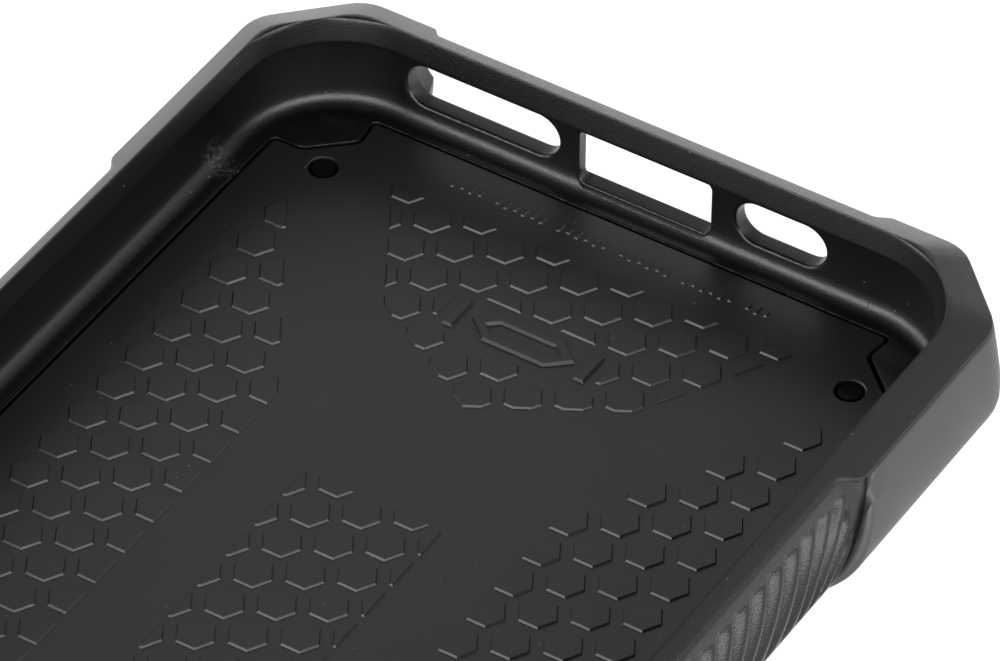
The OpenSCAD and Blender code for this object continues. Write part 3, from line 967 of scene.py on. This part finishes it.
def plastic(
    name,
    dark,
    light,
    rough,
    grain,
    depth,
    blotch=60,
    specks=0.0,
    wear=0.0,
    second=None,
    specular=0.5,
    scuff=None,
):
    """A moulded surface: colour from dark to light over large soft blotches, roughness between two
    values, and a fine grain of the given size in millimetres that stands depth millimetres high.
    A scuff is a rubbed spot, given as its place and radius in millimetres."""
    m = bpy.data.materials.new(name)
    m.use_nodes = True
    t = m.node_tree
    shader = t.nodes["Principled BSDF"]
    shader.inputs["Specular IOR Level"].default_value = specular
    where = node_at(t, "ShaderNodeTexCoord").outputs["Object"]

    def noise(size, detail, roughness=0.5):
        n = node_at(t, "ShaderNodeTexNoise", Scale=1 / (size * MM), Detail=detail, Roughness=roughness)
        t.links.new(where, n.inputs["Vector"])
        return n.outputs["Fac"]

    def ramp(value, low, high, a, b):
        n = node_at(t, "ShaderNodeMapRange")
        for key, v in (("From Min", low), ("From Max", high), ("To Min", a), ("To Max", b)):
            n.inputs[key].default_value = v
        t.links.new(value, n.inputs["Value"])
        return n.outputs["Result"]

    blotches = noise(blotch, 3)
    colour = node_at(t, "ShaderNodeMixRGB")
    colour.inputs["Color1"].default_value = (*dark, 1)
    colour.inputs["Color2"].default_value = (*light, 1)
    t.links.new(ramp(blotches, 0.3, 0.7, 0, 1), colour.inputs["Fac"])
    shown = colour.outputs["Color"]
    fine = noise(grain, 2, 0.6)
    shade = node_at(t, "ShaderNodeMixRGB", blend_type="MULTIPLY")
    shade.inputs["Color1"].default_value = (1, 1, 1, 1)
    shade.inputs["Fac"].default_value = 1
    t.links.new(shown, shade.inputs["Color1"])
    t.links.new(ramp(fine, 0.3, 0.7, 0.78, 1.15), shade.inputs["Color2"])
    shown = shade.outputs["Color"]
    if wear:
        geometry = node_at(t, "ShaderNodeNewGeometry")
        scratchy = node_at(t, "ShaderNodeMath", operation="MULTIPLY")
        t.links.new(ramp(geometry.outputs["Pointiness"], 0.52, 0.58, 0, wear), scratchy.inputs[0])
        t.links.new(ramp(noise(3, 4, 0.7), 0.4, 0.65, 0, 1), scratchy.inputs[1])
        worn = node_at(t, "ShaderNodeMixRGB")
        worn.inputs["Color2"].default_value = (*[min(1, 3.2 * c + 0.02) for c in light], 1)
        t.links.new(scratchy.outputs[0], worn.inputs["Fac"])
        t.links.new(shown, worn.inputs["Color1"])
        shown = worn.outputs["Color"]
    if scuff:
        away = node_at(t, "ShaderNodeVectorMath", operation="DISTANCE")
        t.links.new(where, away.inputs[0])
        away.inputs[1].default_value = [c * MM for c in scuff[0]]
        spot = node_at(t, "ShaderNodeMath", operation="MULTIPLY")
        t.links.new(ramp(away.outputs["Value"], 0, scuff[1] * MM, 1, 0), spot.inputs[0])
        t.links.new(ramp(noise(0.5, 3, 0.7), 0.45, 0.7, 0, 1), spot.inputs[1])
        rubbed = node_at(t, "ShaderNodeMixRGB")
        rubbed.inputs["Color2"].default_value = (0.07, 0.07, 0.07, 1)
        t.links.new(spot.outputs[0], rubbed.inputs["Fac"])
        t.links.new(shown, rubbed.inputs["Color1"])
        shown = rubbed.outputs["Color"]
    if specks:
        dust = node_at(t, "ShaderNodeTexVoronoi", Scale=1 / (1.6 * MM))
        t.links.new(where, dust.inputs["Vector"])
        size = node_at(t, "ShaderNodeMath", operation="LESS_THAN")
        size.inputs[1].default_value = 0.055
        t.links.new(dust.outputs["Distance"], size.inputs[0])
        some = node_at(t, "ShaderNodeMath", operation="GREATER_THAN")
        some.inputs[1].default_value = 1 - specks
        pick = node_at(t, "ShaderNodeSeparateColor")
        t.links.new(dust.outputs["Color"], pick.inputs[0])
        t.links.new(pick.outputs[0], some.inputs[0])
        both = node_at(t, "ShaderNodeMath", operation="MULTIPLY")
        t.links.new(size.outputs[0], both.inputs[0])
        t.links.new(some.outputs[0], both.inputs[1])
        dusty = node_at(t, "ShaderNodeMixRGB")
        dusty.inputs["Color2"].default_value = (0.06, 0.06, 0.06, 1)
        t.links.new(both.outputs[0], dusty.inputs["Fac"])
        t.links.new(shown, dusty.inputs["Color1"])
        shown = dusty.outputs["Color"]
    t.links.new(shown, shader.inputs["Base Color"])
    t.links.new(ramp(noise(blotch / 6, 4, 0.6), 0.3, 0.7, *rough), shader.inputs["Roughness"])
    bump = node_at(t, "ShaderNodeBump", Distance=depth * MM, Strength=1.0)
    height = fine
    if second:
        coarse = node_at(t, "ShaderNodeTexVoronoi", Scale=1 / (second[0] * MM))
        t.links.new(where, coarse.inputs["Vector"])
        total = node_at(t, "ShaderNodeMath", operation="MULTIPLY_ADD")
        total.inputs[1].default_value = second[1]
        t.links.new(coarse.outputs["Distance"], total.inputs[0])
        t.links.new(fine, total.inputs[2])
        height = total.outputs[0]
    t.links.new(height, bump.inputs["Height"])
    t.links.new(bump.outputs["Normal"], shader.inputs["Normal"])
    return m


def brushed(name, colour, rough, along):
    """A dark anodised or turned metal with fine lines along one axis."""
    m = bpy.data.materials.new(name)
    m.use_nodes = True
    t = m.node_tree
    shader = t.nodes["Principled BSDF"]
    shader.inputs["Metallic"].default_value = 1
    place = node_at(t, "ShaderNodeMapping")
    stretch = [1 / MM, 1 / MM, 1 / MM]
    stretch[along] = 0.02 / MM
    place.inputs["Scale"].default_value = [8 * s for s in stretch]
    t.links.new(node_at(t, "ShaderNodeTexCoord").outputs["Object"], place.inputs["Vector"])
    lines = node_at(t, "ShaderNodeTexNoise", Scale=1.0, Detail=3.0)
    t.links.new(place.outputs["Vector"], lines.inputs["Vector"])
    ramp = node_at(t, "ShaderNodeMapRange")
    ramp.inputs["To Min"].default_value = rough[0]
    ramp.inputs["To Max"].default_value = rough[1]
    t.links.new(lines.outputs["Fac"], ramp.inputs["Value"])
    t.links.new(ramp.outputs["Result"], shader.inputs["Roughness"])
    tint = node_at(t, "ShaderNodeMixRGB")
    tint.inputs["Color1"].default_value = (*[0.8 * c for c in colour], 1)
    tint.inputs["Color2"].default_value = (*colour, 1)
    t.links.new(lines.outputs["Fac"], tint.inputs["Fac"])
    t.links.new(tint.outputs["Color"], shader.inputs["Base Color"])
    bump = node_at(t, "ShaderNodeBump", Distance=0.01 * MM, Strength=0.6)
    t.links.new(lines.outputs["Fac"], bump.inputs["Height"])
    t.links.new(bump.outputs["Normal"], shader.inputs["Normal"])
    return m


RUBBER = plastic(
    "soft_rubber", (0.0016, 0.0017, 0.0019), (0.0024, 0.0026, 0.0029), (0.22, 0.27), 0.17, 0.034,
    specks=0.3, wear=0.2, specular=0.42, scuff=((34.7, -58.8, 4.4), 2.4),
)
PANEL = plastic(
    "panel_satin", (0.004, 0.0043, 0.0050), (0.006, 0.0063, 0.0072), (0.36, 0.44), 0.16, 0.006, specks=0.3,
)
ARMOUR = plastic(
    "armour_satin", (0.028, 0.0282, 0.0288), (0.036, 0.0362, 0.0368), (0.40, 0.50), 0.14, 0.008,
    specks=0.02, wear=0.35,
)
LEATHER = plastic(
    "inlay_pebble", (0.012, 0.012, 0.013), (0.024, 0.024, 0.025), (0.42, 0.60), 0.25, 0.10,
    blotch=20, second=(0.9, 1.6),
)
GUARD = plastic(
    "guard_satin", (0.016, 0.0165, 0.017), (0.021, 0.0215, 0.022), (0.32, 0.42), 0.12, 0.006, wear=0.3,
)
GLOSS = plastic("insert_gloss", (0.002, 0.002, 0.002), (0.003, 0.003, 0.003), (0.16, 0.22), 0.3, 0.003, specular=0.1)
BUTTON = plastic(
    "button_satin", (0.018, 0.0185, 0.019), (0.024, 0.0245, 0.025), (0.36, 0.46), 0.12, 0.008, wear=0.3,
)
TRIM = brushed("trim_anodised", (0.10, 0.102, 0.106), (0.26, 0.42), 0)
STEEL = brushed("screw_turned", (0.33, 0.33, 0.34), (0.2, 0.36), 1)


def paint(piece, material):
    piece.data.materials.clear()
    piece.data.materials.append(material)


def soften(piece, width, segments=3, angle=30):
    m = piece.modifiers.new("soft_edges", "BEVEL")
    m.width, m.segments, m.limit_method = width * MM, segments, "ANGLE"
    m.angle_limit = math.radians(angle)
    m.use_clamp_overlap = True
    m.harden_normals = False


# ---------------------------------------------------------------- camera, light and floor

VIEW_TARGET = Vector((2.44, -53.81, FLOOR_Z)) * MM
VIEW_AZIMUTH = math.radians(148.4)
VIEW_ELEVATION = math.radians(42.296)
VIEW_ROLL = math.radians(0.724)
VIEW_DISTANCE = 0.74765
LENS = 308.9

# Direction of the bright band, and how bright it and the backdrop are
FRONT = (-0.3, 0.954, 0.0)
BAND_STRENGTH = 9.0
BAND = (0.24, 0.32, 0.45, 0.52)
BELOW_BAND = 0.2
BACK_STRENGTH = 1.08
HORIZON_SHARE = 0.35
OVERHEAD_STRENGTH = 0.16


def make_camera():
    data = bpy.data.cameras.new("camera")
    data.lens, data.sensor_width = LENS, 36
    data.clip_start, data.clip_end = 0.01, 10
    camera = bpy.data.objects.new("camera", data)
    bpy.context.scene.collection.objects.link(camera)
    flat = math.cos(VIEW_ELEVATION)
    forward = Vector((math.sin(VIEW_AZIMUTH) * flat, math.cos(VIEW_AZIMUTH) * flat, -math.sin(VIEW_ELEVATION)))
    camera.location = VIEW_TARGET - forward * VIEW_DISTANCE
    level = forward.to_track_quat("-Z", "Y").to_matrix()
    camera.rotation_euler = (level @ Matrix.Rotation(VIEW_ROLL, 3, "Z")).to_euler()
    bpy.context.scene.camera = camera


def area_light(name, place, target, size, power, colour=(1, 1, 1)):
    data = bpy.data.lights.new(name, "AREA")
    data.shape, data.size, data.size_y, data.energy, data.color = "RECTANGLE", size[0], size[1], power, colour
    light = bpy.data.objects.new(name, data)
    bpy.context.scene.collection.objects.link(light)
    light.location = place
    light.rotation_euler = (Vector(target) - Vector(place)).to_track_quat("-Z", "Y").to_euler()


def light_world(tree):
    """An even backdrop that darkens overhead, with a bright low band in front of the case."""
    where = node_at(tree, "ShaderNodeTexCoord").outputs["Generated"]
    split = node_at(tree, "ShaderNodeSeparateXYZ")
    tree.links.new(where, split.inputs[0])

    def fade(value, low, high, a, b):
        n = node_at(tree, "ShaderNodeMapRange")
        for key, v in (("From Min", low), ("From Max", high), ("To Min", a), ("To Max", b)):
            n.inputs[key].default_value = v
        tree.links.new(value, n.inputs["Value"])
        return n.outputs["Result"]

    def combine(kind, a, b):
        n = node_at(tree, "ShaderNodeMath", operation=kind)
        tree.links.new(a, n.inputs[0])
        tree.links.new(b, n.inputs[1])
        return n.outputs[0]

    front = node_at(tree, "ShaderNodeVectorMath", operation="DOT_PRODUCT")
    front.inputs[1].default_value = FRONT
    tree.links.new(where, front.inputs[0])
    up = split.outputs["Z"]
    band = combine("ADD", fade(up, *BAND[:2], 0, 1 - BELOW_BAND), fade(up, -0.05, 0.05, 0, BELOW_BAND))
    band = combine("MULTIPLY", band, fade(up, *BAND[2:], 1, 0))
    band = combine("MULTIPLY", band, fade(front.outputs["Value"], -0.5, 0.6, 0, BAND_STRENGTH))
    backdrop = combine("MULTIPLY", fade(up, 0.62, 0.84, BACK_STRENGTH, OVERHEAD_STRENGTH),
                       fade(up, 0.0, 0.55, HORIZON_SHARE, 1))
    total = combine("ADD", backdrop, band)
    back = tree.nodes["Background"]
    back.inputs["Color"].default_value = (0.97, 0.985, 1.0, 1)
    tree.links.new(total, back.inputs["Strength"])


def make_studio():
    world = bpy.data.worlds.new("studio")
    bpy.context.scene.world = world
    world.use_nodes = True
    light_world(world.node_tree)
    bpy.context.scene.view_settings.view_transform = "Standard"
    mesh = bpy.data.meshes.new("floor")
    mesh.from_pydata([(-3, -3, -0.0002), (3, -3, -0.0002), (3, 3, -0.0002), (-3, 3, -0.0002)], [], [(0, 1, 2, 3)])
    floor = bpy.data.objects.new("floor", mesh)
    bpy.context.scene.collection.objects.link(floor)
    m = bpy.data.materials.new("floor_white")
    m.use_nodes = True
    shader = m.node_tree.nodes["Principled BSDF"]
    shader.inputs["Base Color"].default_value = (0.45, 0.45, 0.45, 1)
    shader.inputs["Roughness"].default_value = 0.8
    shader.inputs["Specular IOR Level"].default_value = 0.1
    shader.inputs["Emission Color"].default_value = (1, 1, 1, 1)
    shader.inputs["Emission Strength"].default_value = 0.8
    mesh.materials.append(m)


# ---------------------------------------------------------------- building the case


def place_piece(piece, material, body, slot, *nodes):
    paint(piece, material)
    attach(piece, body)
    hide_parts(*nodes)


place_piece(make_bumper(), RUBBER, "case", "bumper_rubber", "bumper")
place_piece(make_armour(), ARMOUR, "case", "armour_plastic", "back_shell")
place_piece(make_panel(), PANEL, "case", "panel_plastic", "inner_panel")
place_piece(make_inlay(), LEATHER, "case", "inlay_leather", "back_inlay")
for piece_name, node_name, body_name, inward in (
    ("volume_up_cap", "volume_up_button", "volume_up", 1),
    ("volume_down_cap", "volume_down_button", "volume_down", 1),
    ("side_key_cap", "side_button", "side_key", -1),
):
    place_piece(make_button(piece_name, node_name, inward), BUTTON, body_name, "button_plastic", node_name)

for node_name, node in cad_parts.items():
    if node_name == "camera_guard":
        paint(node, GUARD)
        soften(node, 0.3)
    elif node_name.endswith("trim"):
        paint(node, TRIM)
        soften(node, 0.15)
    elif node_name.endswith("screw"):
        paint(node, STEEL)
        soften(node, 0.08, 2)
    elif node_name.endswith("insert"):
        paint(node, GLOSS)
        soften(node, 0.12)

make_camera()
make_studio()
bpy.context.view_layer.update()
